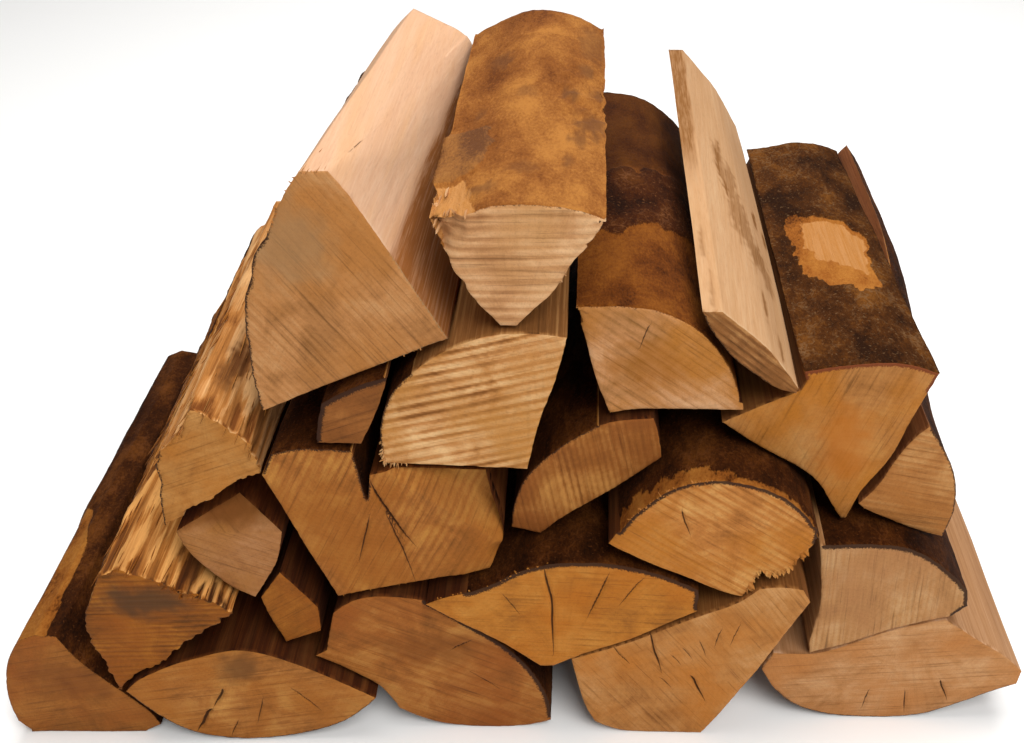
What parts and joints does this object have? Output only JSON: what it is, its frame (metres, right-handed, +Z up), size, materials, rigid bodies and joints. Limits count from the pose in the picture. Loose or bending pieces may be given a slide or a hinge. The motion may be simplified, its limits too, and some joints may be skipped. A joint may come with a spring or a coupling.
{
  "type": "stack of split firewood logs",
  "caption": "Loose stack of split beech and ash firewood logs, sawn ends to the front, wide at the base and narrowing upwards.",
  "frame": {"origin": "middle of the stack's footprint, on the ground", "axes": "+X along the row of sawn ends to the right as seen from the front, +Y along the logs away from the front, +Z up"},
  "size_m": [0.6109, 0.3345, 0.369],
  "materials": {
    "beech": "sawn ends and torn split sides, dry, with dark bark left on the rounded sides",
    "ash": "pale split sides and sawn ends, dry and uncoated"
  },
  "bodies": {
    "root": {"bottom_left_corner_log": "beech", "bottom_half_round_log": "beech", "bottom_slab_log": "beech", "bottom_broad_wedge_log": "beech", "bottom_right_half_round_log": "beech", "left_frayed_log": "beech", "left_small_stick": "beech", "left_small_square_log": "beech", "left_splintered_log": "beech", "middle_low_sector_log": "beech", "middle_left_cleft_log": "beech", "middle_thin_leaning_log": "beech", "middle_right_bark_log": "beech", "upper_small_bark_wedge": "beech", "upper_striped_log": "ash", "right_grey_log": "beech", "right_small_wedge_log": "beech", "top_right_bark_log": "beech", "top_left_pale_wedge": "ash", "top_centre_bark_log": "beech", "top_right_stained_log": "beech", "top_leaning_plank": "ash"}
  },
  "joints": []
}
